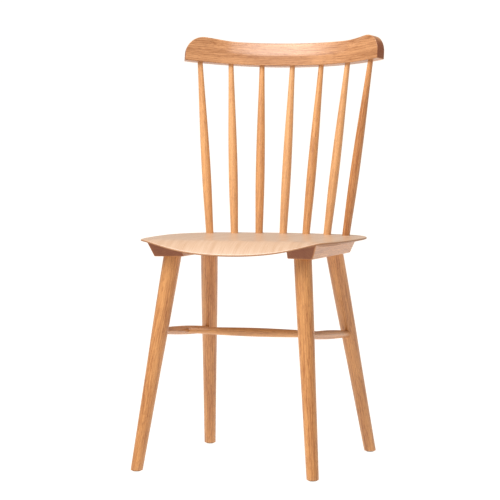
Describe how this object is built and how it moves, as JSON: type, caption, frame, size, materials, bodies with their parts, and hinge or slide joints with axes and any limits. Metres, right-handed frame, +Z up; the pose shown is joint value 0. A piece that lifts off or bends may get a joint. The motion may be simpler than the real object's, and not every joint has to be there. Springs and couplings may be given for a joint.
{
  "type": "dining chair",
  "caption": "Wooden dining chair with a spindle back, a bent crest rail, a moulded plywood seat, splayed tapered legs and an H-shaped stretcher frame.",
  "frame": {"origin": "on the floor, at the middle of the chair's overall width and depth", "axes": "+Z up, +X to the chair's left side when seated, -Y towards the front, where the sitter's knees are"},
  "size_m": [0.4378, 0.4532, 0.8641],
  "materials": {
    "oak": "satin lacquer",
    "oak_plywood": "satin lacquer",
    "nylon": "matt",
    "zinc_steel": "bright zinc"
  },
  "bodies": {
    "root": {"batten_screws": "zinc_steel", "bearer_screws": "zinc_steel", "crest_rail": "oak", "cross_stretcher": "oak", "front_left_glide": "nylon", "front_left_leg": "oak", "front_right_glide": "nylon", "front_right_leg": "oak", "left_bearer": "oak", "left_side_stretcher": "oak", "rear_batten": "oak", "rear_left_glide": "nylon", "rear_left_leg": "oak", "rear_right_glide": "nylon", "rear_right_leg": "oak", "right_bearer": "oak", "right_side_stretcher": "oak", "seat_panel": "oak_plywood", "spindle_1": "oak", "spindle_2": "oak", "spindle_3": "oak", "spindle_4": "oak", "spindle_5": "oak", "spindle_6": "oak", "spindle_7": "oak"}
  },
  "joints": []
}
